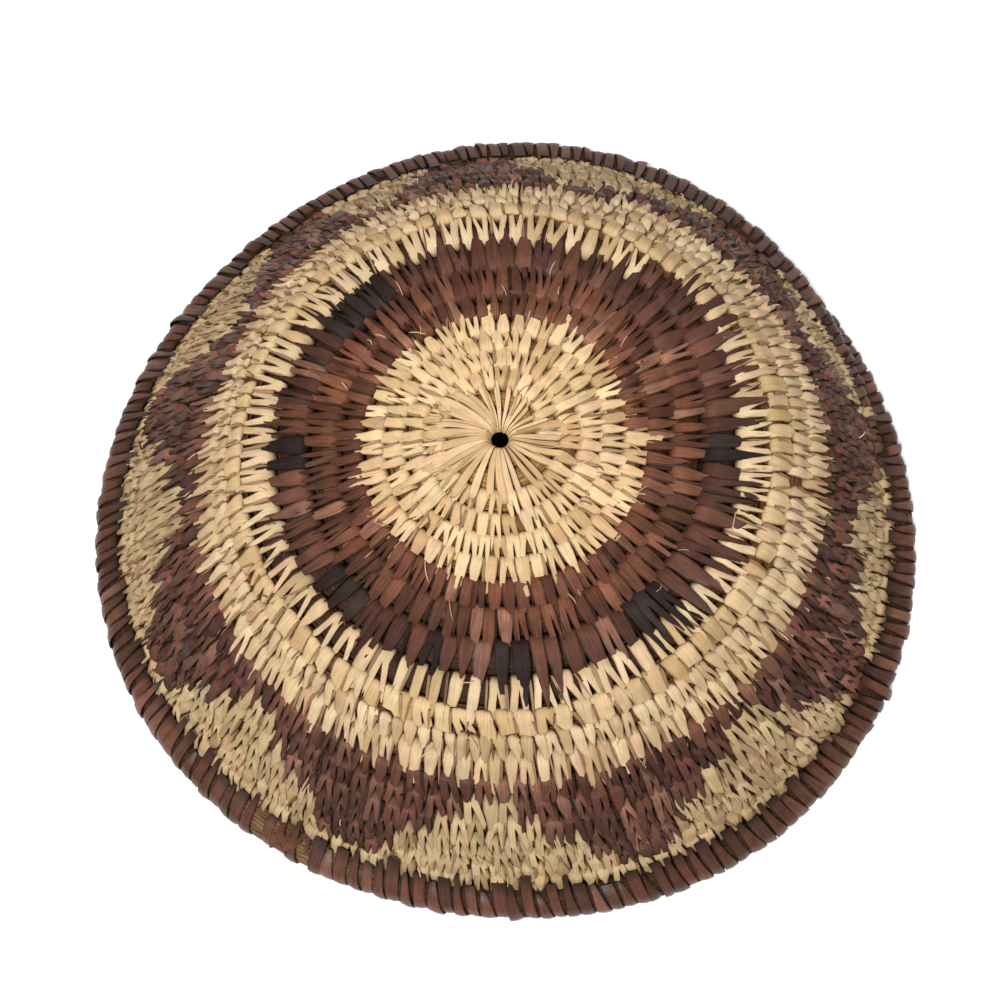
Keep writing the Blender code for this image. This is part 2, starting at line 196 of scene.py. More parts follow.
def add_stems_material():
    """Dry stems side by side: fine lines along the bundle, darkened with painted shade where they show in
    the gaps between stitches.
    """
    material, nodes, links, shader = new_material("dry_grass_stems", 0.75)
    sheet = nodes.new("ShaderNodeUVMap")
    sheet.uv_map = "grain"
    stretch = nodes.new("ShaderNodeMapping")
    stretch.inputs["Scale"].default_value = (1.0, 0.05, 1.0)
    links.new(sheet.outputs["UV"], stretch.inputs["Vector"])
    noise = nodes.new("ShaderNodeTexNoise")
    noise.inputs["Scale"].default_value = 2.2
    noise.inputs["Detail"].default_value = 3.0
    links.new(stretch.outputs["Vector"], noise.inputs["Vector"])
    ramp = nodes.new("ShaderNodeValToRGB")
    ramp.color_ramp.elements[0].position = 0.32
    ramp.color_ramp.elements[0].color = (*colour(66, 36, 16), 1)
    ramp.color_ramp.elements[1].position = 0.66
    ramp.color_ramp.elements[1].color = (*colour(196, 146, 88), 1)
    links.new(noise.outputs["Fac"], ramp.inputs["Fac"])
    # The stems' tone attribute darkens them with painted shade of the gaps between stitches.
    gap_shade = nodes.new("ShaderNodeAttribute")
    gap_shade.attribute_name = "tone"
    shaded = nodes.new("ShaderNodeMix")
    shaded.data_type = "RGBA"
    shaded.blend_type = "MULTIPLY"
    shaded.inputs["Factor"].default_value = 1.0
    links.new(ramp.outputs["Color"], shaded.inputs["A"])
    links.new(gap_shade.outputs["Color"], shaded.inputs["B"])
    links.new(shaded.outputs["Result"], shader.inputs["Base Color"])
    bump = nodes.new("ShaderNodeBump")
    bump.inputs["Strength"].default_value = 0.6
    bump.inputs["Distance"].default_value = 0.0004
    links.new(noise.outputs["Fac"], bump.inputs["Height"])
    links.new(bump.outputs["Normal"], shader.inputs["Normal"])
    return material


STEM_FLUTES = 14
SECTION_POINTS = 2 * STEM_FLUTES
STATIONS_PER_TURN = 72
COIL_FROM = 0.1602
COIL_TO = 21.0942
FLUTE_BOTTOM = 0.93
ROOM_BETWEEN_ROWS = 0.0001
ROOM_FOR_SPLINTS = 0.0011
STEM_LINES = 1.1
stations = np.concatenate([np.arange(COIL_FROM, COIL_TO, 1 / STATIONS_PER_TURN), [COIL_TO]])
section = np.arange(SECTION_POINTS) * 2 * math.pi / SECTION_POINTS
flute = np.where(np.arange(SECTION_POINTS) % 2 == 0, 1.0, FLUTE_BOTTOM)
row_width = row_edge(stations + 1) - row_edge(stations)
half_width = row_width * 0.5 - ROOM_BETWEEN_ROWS
half_depth = np.minimum(along_coil(stations, ROW_THICKNESS), row_width) / 2 - ROOM_FOR_SPLINTS
stem_reach = (row_edge(stations) + row_width / 2)[:, None] - half_width[:, None] * flute * np.cos(section)
stem_depth = along_coil(stations, ROW_DEPTH)[:, None] - half_depth[:, None] * flute * np.sin(section)
stem_points = lay(2 * math.pi * stations[:, None], stem_reach, stem_depth)
ring = np.arange(SECTION_POINTS)
ring_after = (ring + 1) % SECTION_POINTS
stem_faces = []
for i in range(len(stations) - 1):
    low = i * SECTION_POINTS
    high = low + SECTION_POINTS
    stem_faces += np.stack([low + ring, high + ring, high + ring_after, low + ring_after], 1).tolist()
stem_faces.append(ring.tolist())
stem_faces.append((len(stations) * SECTION_POINTS - 1 - ring).tolist())
radius_here = bowl_surface(row_edge(stations))[0]
length_here = np.cumsum(radius_here * 2 * math.pi / STATIONS_PER_TURN) * 1000
stem_sheet = np.stack([
    np.broadcast_to(np.minimum(ring, SECTION_POINTS - ring) * STEM_LINES, stem_reach.shape),
    np.broadcast_to(length_here[:, None], stem_reach.shape)], -1)
# The bundle is left pale at the centre; elsewhere its colour is darkened with painted shade of the gaps
# between the stitches, somewhat under the corner and at the rim's bare place, and deeply under the brown
# rows of the base and down the wall.
GAP_SHADE_TURNS = [2.2, 3.2, 6.0, 6.5, 9.8, 10.2, 12.6, 13.3, 20.62, 20.64, 20.675, 20.70]
GAP_SHADE_LEVELS = (
    [1.0, 0.6, 0.4, 0.11, 0.11, 0.36, 0.30, 0.10, 0.10, 0.40, 0.40, 0.10],
    [1.0, 0.56, 0.34, 0.075, 0.075, 0.32, 0.24, 0.065, 0.065, 0.40, 0.40, 0.065],
    [1.0, 0.5, 0.28, 0.055, 0.055, 0.26, 0.18, 0.05, 0.05, 0.48, 0.48, 0.05])
stem_gap_shade = np.stack([np.interp(stations, GAP_SHADE_TURNS, levels) for levels in GAP_SHADE_LEVELS], -1)
stems = make_piece("foundation_stems", stem_points, stem_faces, stem_sheet, 0 * stem_sheet,
                   np.broadcast_to(stem_gap_shade[:, None, :], stem_reach.shape + (3,)))
stems.data.materials.append(add_stems_material())
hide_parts("foundation_coil")


# Every stitch is a split leaf splint, flat and about half a millimetre thick. It comes up out of the
# work at the inner edge of its row, lies over the row and runs out to a point on the next row. Where the
# next row's stitch was pushed through it, it is split into two legs.
SAME = 0.01
SLIT_GAP = 0.002


def splint_blank(name, across, along, slit=None):
    """A flat splint with some faces across and along it, and a slit from its end up to a height. It gives
    the points' places across (-1 to 1), down (0 to 1) and through it, the faces, a number that a point
    shares with the one behind it, and how far down the slit starts."""
    bpy.ops.object.select_all(action="DESELECT")
    bpy.ops.mesh.primitive_grid_add(x_subdivisions=across, y_subdivisions=along, size=2)
    blank = bpy.context.object
    blank.name = name
    if slit is not None:
        for edge in blank.data.edges:
            ends = [blank.data.vertices[i].co for i in edge.vertices]
            edge.select = all(abs(end.x) < SAME and end.y < slit + SAME for end in ends)
        for vert in blank.data.vertices:
            vert.select = abs(vert.co.x) < SAME and vert.co.y < slit + SAME
        for face in blank.data.polygons:
            face.select = False
        bpy.ops.object.mode_set(mode="EDIT")
        bpy.ops.mesh.select_mode(type="EDGE")
        bpy.ops.mesh.edge_split(type="EDGE")
        bpy.ops.object.mode_set(mode="OBJECT")
        for face in blank.data.polygons:
            for i in face.vertices:
                vert = blank.data.vertices[i]
                if abs(vert.co.x) < SAME and vert.co.y < slit - SAME:
                    vert.co.x = SLIT_GAP * math.copysign(1, face.center.x)
    wall = blank.modifiers.new("thickness", "SOLIDIFY")
    wall.thickness = 1.0
    wall.offset = 0.0
    wall.use_even_offset = False
    bpy.ops.object.modifier_apply(modifier=wall.name)
    points = np.array([vert.co for vert in blank.data.vertices])
    faces = np.array([list(face.vertices) for face in blank.data.polygons])
    bpy.data.objects.remove(blank)
    _, twin = np.unique(np.round(points[:, :2] * 400), axis=0, return_inverse=True)
    crotch = 1 if slit is None else (1 - slit) / 2
    return points[:, 0], (1 - points[:, 1]) / 2, points[:, 2], faces, twin.ravel(), crotch


SPIKE = splint_blank("spike_blank", 2, 7)
FORK = splint_blank("fork_blank", 4, 6, slit=1 / 3)
LONG_FORK = splint_blank("long_fork_blank", 4, 8, slit=1 / 2)
SLIVER = splint_blank("sliver_blank", 1, 5)
SPLINT_THICKNESS = 0.0005
MARK_ACROSS = 37
MARK_ALONG = 91
NARROWEST_ROW = 0.002
SURFACE_PLACES = [-0.3, 0.0, 0.08, 0.18, 0.32, 0.5, 0.75, 1.0, 1.2, 1.5, 2.0]
SURFACE_SHARES = [0.50, 0.34, 0.19, 0.075, 0.0, 0.015, 0.055, 0.10, 0.085, 0.05, 0.12]
SHOULDER_PLACES = [0, 0.05, 0.16, 1]
SHOULDER_SHARES = [1, 0.35, 0, 0]
RAGGED_SIDES = 0.028
RAGGED_ENDS = 0.16
CUT_LEG_END = 0.45
INSIDE_END = 0.9
ROUNDED_TOP = 0.09
BASE_CROWN = 0.00025
WALL_CROWN = 0.0005
FULL_CROWN_WIDTH = 0.005


def row_place(turn, reach):
    """How far a reach lies along its row, 0 to 1, and on into the next row, 1 to 2."""
    first = row_edge(turn)
    second = row_edge(turn + 1)
    third = row_edge(turn + 2)
    beyond = 1 + (reach - second) / np.maximum(third - second, NARROWEST_ROW)
    return np.where(reach < second, (reach - first) / np.maximum(second - first, NARROWEST_ROW), beyond)


def outside_depth(turn, reach):
    """Depth of the stitches' surface: steep at the apex, highest over the row, level on the next."""
    place = row_place(turn, reach)
    thick = along_coil(turn, ROW_THICKNESS)
    share = np.interp(place, SURFACE_PLACES, SURFACE_SHARES)
    return along_coil(turn, ROW_DEPTH) - thick / 2 + share * thick


def splint_outline(stitch, blank, pointed):
    """Offsets along the coil of the blank's points, for every stitch, in metres."""
    across, down, _, _, twin, crotch = blank
    half = stitch["width"][:, None] / 2
    shoulder = 1 - (1 - stitch["top"][:, None]) * np.interp(down, SHOULDER_PLACES, SHOULDER_SHARES)
    ragged = chance.normal(0, RAGGED_SIDES, (len(half), twin.max() + 1))[:, twin] * (np.abs(across) > 0.9)
    across = across * (1 + ragged)
    if crotch < 1:
        side = np.sign(across) * (down > crotch - SAME)
        grown = np.clip((down - crotch) / (1 - crotch), 0, 1)
        tip = np.where(side < 0, stitch["left_tip"][:, None], stitch["right_tip"][:, None])
        end = np.where(side < 0, stitch["left_leg"][:, None], stitch["right_leg"][:, None])
        middle = side * 0.5 * half + (tip - side * 0.5 * half) * grown
        leg_half = half * 0.5 * (1 + (end - 1) * grown) * np.where(down > 1 - SAME, CUT_LEG_END, 1)
        legs = middle + (across - side * 0.5) * 2 * leg_half
        return np.where(side == 0, across * half * shoulder, legs)
    end = stitch["end"][:, None] if pointed else INSIDE_END
    taper = 1 + (end - 1) * np.clip((down - 0.4) / 0.6, 0, 1) ** 1.15
    lean = stitch["left_tip"][:, None] * down
    return lean + across * half * shoulder * taper


def bend_splints(stitch, blank, pointed=True, inside=False):
    """Points, faces, grain sheet, place on the splint and tone of a splint for every stitch."""
    across, down, through, faces, twin, crotch = blank
    turn = stitch["turn"][:, None]
    width = stitch["width"][:, None]
    mark = stitch["mark"][:, None]
    offset = splint_outline(stitch, blank, pointed)
    reach = stitch["from"][:, None] + (stitch["to"] - stitch["from"])[:, None] * down
    reach = reach + width * ROUNDED_TOP * across ** 2 * np.clip(1 - down / 0.2, 0, 1)
    if not inside:
        ragged = chance.normal(0, RAGGED_ENDS, (len(turn), twin.max() + 1))[:, twin]
        cut = ragged + stitch["cut"][:, None] * across
        reach = reach + width * cut * np.clip((down - 0.8) / 0.2, 0, 1)
    radius = bowl_surface(reach)[0]
    angle = 2 * math.pi * turn + offset / np.maximum(radius, 0.003)
    depth = outside_depth(turn, reach)
    crown = np.where(turn < EDGE_ROW, BASE_CROWN, WALL_CROWN) * np.minimum(1, width / FULL_CROWN_WIDTH)
    lift = stitch["lift"][:, None] + stitch["tilt"][:, None] * across - crown * across ** 2
    if inside:
        middle = along_coil(turn, ROW_DEPTH)
        depth = 2 * middle - depth + lift * 0.5 + through * SPLINT_THICKNESS
        faces = faces[:, ::-1]
    else:
        depth = depth - lift - through * SPLINT_THICKNESS
    points = lay(angle, reach, depth)
    down_sheet = (reach - reach[:, :1]) * 1000
    sheet = np.stack([offset * 1000 + mark * MARK_ACROSS, down_sheet + mark * MARK_ALONG], -1)
    on_leg = (down > crotch + SAME) * np.sign(across)
    side = np.abs(across - on_leg * 0.5) * (1 + np.abs(on_leg))
    lie = np.stack(np.broadcast_arrays(side, down + 0 * offset), -1)
    tone = np.broadcast_to(stitch["tone"][:, None, :], offset.shape + (3,))
    return points, faces, sheet, lie, tone


def join_splints(name, groups):
    """One piece of all the splints in the groups, each as bend_splints gives it."""
    faces = []
    count = 0
    groups = [group for group in groups if len(group[0])]
    for points, blank_faces, _, _, _ in groups:
        number, size = points.shape[:2]
        shifts = count + np.arange(number)[:, None, None] * size
        faces += (blank_faces[None, :, :] + shifts).reshape(-1, blank_faces.shape[1]).tolist()
        count += number * size
    points = np.concatenate([group[0].reshape(-1, 3) for group in groups])
    sheet = np.concatenate([group[2].reshape(-1, 2) for group in groups])
    lie = np.concatenate([group[3].reshape(-1, 2) for group in groups])
    tone = np.concatenate([group[4].reshape(-1, 3) for group in groups])
    return make_piece(name, points, faces, sheet, lie, tone)


def add_range(nodes, links, value, low, high, to_low, to_high):
    """A value fitted from one range to another, and kept within it."""
    fit = nodes.new("ShaderNodeMapRange")
    fit.inputs["From Min"].default_value = low
    fit.inputs["From Max"].default_value = high
    fit.inputs["To Min"].default_value = to_low
    fit.inputs["To Max"].default_value = to_high
    links.new(value, fit.inputs["Value"])
    return fit.outputs["Result"]


def add_splint_material(name, roughness, gloss, shade, grain, crest_highlight=1.14, slope_shade=0.88):
    """Split leaf: fine lengthwise grain and stains, with painted light along it: painted shade on its sides
    and at its tip, dirt and painted shade where it comes out of the work, a painted highlight over the
    crest and painted shade on the slope beyond it.
    """
    material, nodes, links, shader = new_material(name, roughness, gloss)
    tone = nodes.new("ShaderNodeAttribute")
    tone.attribute_name = "tone"
    sheet = nodes.new("ShaderNodeUVMap")
    sheet.uv_map = "grain"
    stretch = nodes.new("ShaderNodeMapping")
    stretch.inputs["Scale"].default_value = (1.7, 0.10, 1.0)
    links.new(sheet.outputs["UV"], stretch.inputs["Vector"])
    fibre = nodes.new("ShaderNodeTexNoise")
    fibre.inputs["Scale"].default_value = 1.0
    fibre.inputs["Detail"].default_value = 3.0
    links.new(stretch.outputs["Vector"], fibre.inputs["Vector"])
    place = nodes.new("ShaderNodeTexCoord")
    stain = nodes.new("ShaderNodeTexNoise")
    stain.inputs["Scale"].default_value = 240.0
    stain.inputs["Detail"].default_value = 3.0
    links.new(place.outputs["Object"], stain.inputs["Vector"])
    both = nodes.new("ShaderNodeMath")
    both.operation = "MULTIPLY_ADD"
    both.inputs[1].default_value = 0.6
    links.new(stain.outputs["Fac"], both.inputs[0])
    links.new(fibre.outputs["Fac"], both.inputs[2])
    amount = add_range(nodes, links, both.outputs["Value"], 0.5, 1.1, 1 - grain, 1 + grain * 0.3)
    lie = nodes.new("ShaderNodeUVMap")
    lie.uv_map = "lie"
    parts = nodes.new("ShaderNodeSeparateXYZ")
    links.new(lie.outputs["UV"], parts.inputs["Vector"])
    # Painted shade on the sides, dirt and painted shade in the valley where the splint comes out, a painted
    # highlight over the crest, painted shade on the slope beyond and at the tip.
    side = add_range(nodes, links, parts.outputs["X"], 0.74, 1.0, 1.0, 0.37)
    valley = add_range(nodes, links, parts.outputs["Y"], 0.0, 0.07, 0.28, 0.97)
    crest = add_range(nodes, links, parts.outputs["Y"], 0.06, 0.16, 1.0, crest_highlight)
    slack = add_range(nodes, links, parts.outputs["Y"], 0.28, 0.60, 1.0, slope_shade)
    end = add_range(nodes, links, parts.outputs["Y"], 0.93, 1.0, 1.0, 0.75)
    for factor in (side, valley, crest, slack, end):
        product = nodes.new("ShaderNodeMath")
        product.operation = "MULTIPLY"
        links.new(amount, product.inputs[0])
        links.new(factor, product.inputs[1])
        amount = product.outputs["Value"]
    tint = nodes.new("ShaderNodeMix")
    tint.data_type = "RGBA"
    tint.clamp_factor = False
    tint.inputs["A"].default_value = (*shade, 1)
    links.new(tone.outputs["Color"], tint.inputs["B"])
    links.new(amount, tint.inputs["Factor"])
    links.new(tint.outputs["Result"], shader.inputs["Base Color"])
    bump = nodes.new("ShaderNodeBump")
    bump.inputs["Strength"].default_value = 0.45
    bump.inputs["Distance"].default_value = 0.0003
    links.new(fibre.outputs["Fac"], bump.inputs["Height"])
    links.new(bump.outputs["Normal"], shader.inputs["Normal"])
    return material


# Where a splint material is given two last numbers, they set a painted highlight over the crest and painted
# shade on the slope beyond it.
natural_splint = add_splint_material(
    "natural_leaf_splint", roughness=0.6, gloss=0.16, shade=colour(88, 48, 16), grain=0.36)
brown_splint = add_splint_material(
    "dyed_leaf_splint", roughness=0.44, gloss=0.10, shade=colour(12, 6, 4), grain=0.55,
    crest_highlight=1.32, slope_shade=0.72)
rim_splint = add_splint_material(
    "dyed_leaf_splint_of_the_rim", roughness=0.38, gloss=0.24, shade=colour(10, 5, 3), grain=0.6,
    crest_highlight=1.2, slope_shade=0.85)


def tones(count, choices, weights, spread):
    """Colours of single splints: one of the choices each, a little lighter or darker and off in hue."""
    picked = np.array(choices)[chance.choice(len(choices), count, p=np.array(weights) / sum(weights))]
    lighter = 1 + chance.normal(0, spread, (count, 1))
    hue = 1 + chance.normal(0, spread * 0.3, (count, 3))
    return picked * lighter * hue


NATURAL_TONES = [colour(222, 191, 146), colour(209, 176, 131), colour(193, 158, 114), colour(216, 181, 141)]
PALE_TONES = [colour(209, 183, 144), colour(200, 172, 133), colour(185, 155, 115), colour(203, 171, 135)]
TAN_TONES = [colour(203, 174, 132), colour(195, 165, 122), colour(185, 155, 111), colour(198, 166, 126)]
WALL_TONES = [colour(202, 176, 138), colour(193, 165, 127), colour(178, 148, 110), colour(197, 165, 130)]
DULL_TONES = [colour(179, 155, 118), colour(168, 143, 106), colour(151, 127, 92), colour(175, 147, 112)]
NATURAL_SHARES = [4, 5, 2, 0.8]
NATURAL_SPREAD = 0.05
BROWN_TONES = [colour(106, 65, 47), colour(118, 74, 55), colour(84, 51, 37), colour(140, 96, 76)]
DARK_TONES = [colour(91, 57, 44), colour(103, 67, 52), colour(74, 46, 37), colour(121, 84, 68)]
RIM_TONES = [colour(90, 55, 40), colour(98, 61, 45), colour(78, 48, 36), colour(112, 75, 58)]
BROWN_SHARES = [5, 3, 4, 1]
BROWN_SPREAD = 0.08
BLACK_TONES = [colour(42, 31, 28), colour(52, 40, 36)]


# The stitches are sewn row by row. A stitch comes up between two points of the row before, and one more
# is put in where the room between them has grown too wide.
STYLE_FROM = 30 / 360
BASE_TOP_SHIFT = 0.0003
WALL_TOP_SHIFT = 0.0013
TOP_SHIFT = {10: -0.0012, 11: -0.0004, 12: 0.0022}
WIDEST_SPLINT = 0.0068
RIM_FROM = 20.0293
RIM_TO = 21.087
LAST_EDGE_TURN = 21.05
PAST_RIM_END = 1.11
WHOLE_STRIPS = (9 + 231 / 360, 9 + 264 / 360)
WHOLE_SPLIT = 0.1
WHOLE_WIDTH = 0.88
LONG_SPIKE_TURNS = [8.71, 8.73, 8.80, 8.94, 9.10, 9.1332, 9.1334]
LONG_SPIKE_SHARES = [0, 0.6, 0.4, 0.6, 0.6, 0.3, 0]
LONG_SPIKE_LIFT = 0.0007
DRIFTS = ((4.3, 0), (9.7, 2), (1.7, 0))
# Each row's spacing, share of split stitches, width of a stitch in its room and at its top, share of the
# next row that its points reach over, lean, width of a cut end, and share of stitches with a thin sliver:
ROW_STYLES = {
    1: (0.0040, 0.10, 1.05, 0.95, 0.40, 0.0003, 0.6, 0.0),
    2: (0.0045, 0.30, 1.00, 0.94, 0.55, 0.0003, 0.65, 0.5),
    3: (0.0049, 0.40, 0.98, 0.94, 0.50, 0.0003, 0.65, 0.6),
    4: (0.0051, 0.40, 0.97, 0.94, 0.50, 0.0002, 0.65, 0.6),
    5: (0.0054, 0.45, 0.95, 0.94, 0.55, 0.0002, 0.5, 0.6),
    6: (0.0045, 0.15, 0.97, 0.95, 0.50, 0.0002, 0.6, 0.5),
    7: (0.0052, 0.35, 0.97, 0.94, 0.45, 0.0003, 0.5, 0.5),
    8: (0.0060, 0.40, 0.97, 0.94, 0.62, 0.0004, 0.35, 0.5),
    9: (0.0070, 0.88, 0.78, 0.90, 0.55, 0.0006, 0.75, 0.5),
    10: (0.0066, 0.12, 1.03, 0.95, 0.20, 0.0010, 1.6, 1.0),
    11: (0.0044, 0.10, 1.00, 0.72, 0.25, 0.0012, 0.6, 0.7),
    12: (0.0054, 0.50, 0.90, 0.88, 0.60, 0.0008, 0.45, 0.8),
    13: (0.0060, 0.60, 0.84, 0.92, 0.50, 0.0008, 0.6, 0.5),
    14: (0.0065, 0.82, 0.82, 0.92, 0.52, 0.0009, 0.6, 0.4),
    15: (0.0065, 0.82, 0.84, 0.92, 0.50, 0.0009, 0.6, 0.4),
    16: (0.0063, 0.76, 0.86, 0.92, 0.46, 0.0009, 0.6, 0.4),
    17: (0.0061, 0.70, 0.88, 0.92, 0.42, 0.0009, 0.6, 0.4),
    18: (0.0059, 0.65, 0.90, 0.92, 0.38, 0.0009, 0.6, 0.4),
    19: (0.0056, 0.50, 0.90, 0.90, 0.22, 0.0009, 0.6, 0.5),
    20: (0.0050, 0.0, 1.12, 0.8, 0.0, 0.0012, 0.9, 0.0)}


def row_radius(turn, share=0.5):
    """Radius of the outer surface at a share of the way over the row."""
    return bowl_surface(row_edge(turn) + share * (row_edge(turn + 1) - row_edge(turn)))[0]


def style_rows(turns):
    """The row whose style a stitch has: the row before, while its own row is still moving outwards."""
    turns = np.asarray(turns)
    row = np.clip(np.floor(turns - STYLE_FROM), 1, RIM_ROW - 1)
    return np.where(turns >= RIM_FROM, RIM_ROW, row).astype(int)


def lay_out_row(row, tips):
    """Turns of a row's stitches, between the points of the row before."""
    turns = []
    spare = 0.0
    for left, right in zip(tips, tips[1:]):
        middle = (left + right) / 2
        room = (right - left) * 2 * math.pi * float(row_radius(middle))
        wanted = room / ROW_STYLES[int(style_rows(max(middle, row - 1)))][0] + spare
        number = max(0, int(round(wanted)))
        spare = wanted - number
        turns += [left + (right - left) * (i + 0.5) / number for i in range(number)]
    turns = np.array(turns)
    for _ in range(3):
        turns[1:-1] = turns[1:-1] * 0.4 + (turns[:-2] + turns[2:]) * 0.3
    return turns


def sew_row(row, turns):
    """The stitches of a row with their widths, legs, points and small differences."""
    style = style_rows(turns)
    _, split, width, top, over, lean, end, sliver = np.array([ROW_STYLES[i] for i in style]).T
    whole = (turns > WHOLE_STRIPS[0]) & (turns < WHOLE_STRIPS[1])
    split = np.where(whole, WHOLE_SPLIT, split)
    width = np.where(whole, WHOLE_WIDTH, 1) * width
    top_shift = np.array([
        TOP_SHIFT.get(i, WALL_TOP_SHIFT if i > FIRST_WALL_ROW else BASE_TOP_SHIFT) for i in style])
    count = len(turns)
    radius = row_radius(turns)
    room = np.gradient(turns) * 2 * math.pi * radius
    first = row_edge(turns)
    second = row_edge(turns + 1)
    third = row_edge(np.minimum(turns + 2, LAST_EDGE_TURN))
    reach_over = over * chance.uniform(0.5, 1.45, count) * np.maximum(third - second, 0.004)
    stitch = {
        "turn": turns + chance.normal(0, 0.05, count) * room / (2 * math.pi * radius),
        "width": np.minimum(room * width * chance.uniform(0.8, 1.12, count), WIDEST_SPLINT),
        "from": first + chance.normal(0, 0.0005, count) - top_shift,
        "to": second + reach_over,
        "top": top * chance.uniform(0.88, 1.08, count),
        "lift": chance.normal(0, 0.0002, count),
        "tilt": chance.normal(0, 0.0002, count),
        "mark": chance.uniform(0, 40, count),
        "cut": chance.normal(0, 0.15, count),
        "end": np.clip(end * chance.uniform(0.3, 1.5, count), 0.08, 1.0),
        "split": chance.uniform(0, 1, count) < split,
        "sliver": chance.uniform(0, 1, count) < sliver,
        "room": room}
    drift = sum(np.sin(2 * math.pi * waves * turns + phase) for waves, phase in DRIFTS)
    slant = lean * chance.uniform(0.2, 1.8, count) + room * (chance.normal(0, 0.09, count) + 0.06 * drift)
    wide = room * chance.uniform(0.24, 0.36, count)
    stitch["left_tip"] = np.where(stitch["split"], slant - wide, slant)
    stitch["right_tip"] = slant + wide * chance.uniform(1.1, 1.9, count)
    leg_ends = (0.7, 1.15) if row >= EDGE_ROW else (0.5, 0.9)
    stitch["left_leg"] = chance.uniform(*leg_ends, count)
    stitch["right_leg"] = chance.uniform(0.3, 0.75, count)
    stitch["end"] = np.where(whole, np.clip(stitch["end"], 0.72, 0.95), stitch["end"])
    stitch["tone"] = np.ones((count, 3))
    long_spike = chance.uniform(0, 1, count) < np.interp(turns, LONG_SPIKE_TURNS, LONG_SPIKE_SHARES)
    stitch["to"] = np.where(long_spike, second + chance.uniform(0.007, 0.0125, count), stitch["to"])
    stitch["lift"] = np.where(long_spike, LONG_SPIKE_LIFT, stitch["lift"])
    return stitch


def row_tips(stitch):
    """Turns of a row's points, one turn on, in order."""
    around = 2 * math.pi * row_radius(stitch["turn"], 1.0)
    left = stitch["turn"] + 1 + stitch["left_tip"] / around
    right = stitch["turn"] + 1 + stitch["right_tip"] / around
    return np.sort(np.concatenate([left, right[stitch["split"]]]))


FAN_COUNT = 31
fan_turns = np.arange(FAN_COUNT + 1) / FAN_COUNT + SHIFT_FROM
rows = {}
tips = np.concatenate([fan_turns + 1, [fan_turns[-1] + 1 + 1.0 / FAN_COUNT]])
last_tip = fan_turns[-1] + 1
for row in range(1, RIM_ROW + 1):
    turns = lay_out_row(row, tips)
    end = RIM_TO if row == RIM_ROW else row + 1 + SHIFT_FROM
    turns = turns[(turns >= row + SHIFT_FROM) & (turns < end)] if row > 1 else turns[turns < end]
    rows[row] = sew_row(row, turns)
    row_end = row_tips(rows[row])
    closing = row_end[0] + (1 if row < RIM_ROW - 1 else PAST_RIM_END)
    tips = np.concatenate([[last_tip], row_end, [closing]])
    last_tip = row_end[-1]
stitches = {key: np.concatenate([rows[row][key] for row in rows if row > 1]) for key in rows[2]}
stitch_turn = stitches["turn"]
INSIDE_OVERLAP = 0.0003
INSIDE_LEAN = 0.0008
INSIDE_WIDTH = 0.96
SLIVER_END = 0.25


def between(start, end):
    """Which stitches lie from one turn of the coil to another."""
    return (stitch_turn >= start) & (stitch_turn < end)


def dye(chosen, choices, weights, spread):
    """Gives the chosen stitches their colours."""
    stitches["tone"][chosen] = tones(chosen.sum(), choices, weights, spread)


def pick(stitch, chosen):
    return {key: value[chosen] for key, value in stitch.items()}


def sew_piece(name, chosen, material, slot, *nodes):
    """A piece from the chosen stitches: spikes and forks outside, plain splints inside the bowl."""
    stitch = pick(stitches, chosen)
    on_wall = stitch["turn"] > FIRST_WALL_ROW + 1
    forks = pick(stitch, stitch["split"] & ~on_wall)
    long_forks = pick(stitch, stitch["split"] & on_wall)
    spikes = pick(stitch, ~stitch["split"])
    back = dict(stitch)
    back["to"] = row_edge(stitch["turn"] + 1) + INSIDE_OVERLAP
    back["left_tip"] = np.full(len(stitch["turn"]), INSIDE_LEAN)
    back["width"] = stitch["room"] * INSIDE_WIDTH
    slivers = pick(stitch, stitch["sliver"])
    beside = len(slivers["turn"])
    around = 2 * math.pi * row_radius(slivers["turn"])
    slivers["turn"] = slivers["turn"] + slivers["room"] * chance.uniform(0.4, 0.55, beside) / around
    slivers["width"] = chance.uniform(0.0006, 0.0014, beside)
    slivers["from"] = slivers["from"] + slivers["room"] * chance.uniform(0.1, 0.7, beside)
    slivers["to"] = slivers["to"] + slivers["room"] * chance.uniform(-0.3, 0.3, beside)
    slivers["left_tip"] = slivers["room"] * chance.normal(0.1, 0.22, beside)
    slivers["lift"] = chance.uniform(-0.0002, 0.0004, beside)
    slivers["end"] = np.full(beside, SLIVER_END)
    groups = [bend_splints(forks, FORK), bend_splints(long_forks, LONG_FORK), bend_splints(spikes, SPIKE),
              bend_splints(slivers, SLIVER), bend_splints(back, SPIKE, pointed=False, inside=True)]
    piece = join_splints(name, groups)
    piece.data.materials.append(material)
    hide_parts(*nodes)


# The centre fan is some thirty pale splints that come up out of the hole, cross the first turns of the
# coil in one sweep and go down where the second row of stitches starts. Thin split-off strips lie
# between them.
FAN_SLIVERS = 22
SLIVER_SHARE = 0.32
FAN_START = 0.0032
FAN_PAST_ROW = 0.0080
FAN_LONGEST = math.radians(185)
FAN_PLACES = [0, 0.25, 0.5, 0.9, 1]
FAN_WIDTHS = [1.0, 0.96, 0.82, 0.62, 0.30]
FAN_LONGER_BY = 0.0060
FAN_WIDER_BY = 0.16
FAN_SWEEP = 0.014
FAN_REACHES = [FAN_START, 0.0040, 0.0052, 0.009, 0.016, 0.020, 0.026]
FAN_DEPTHS = [0.0050, 0.0022, 0.0008, 0.0001, 0.0001, 0.0002, 0.0001]
fan_total = FAN_COUNT + FAN_SLIVERS
thin_strip = np.arange(fan_total) >= FAN_COUNT
fan_turn = np.where(thin_strip, chance.uniform(0, 1, fan_total), (np.arange(fan_total) + 0.5) / FAN_COUNT)
fan_turn = fan_turn + chance.normal(0, 0.003, fan_total)
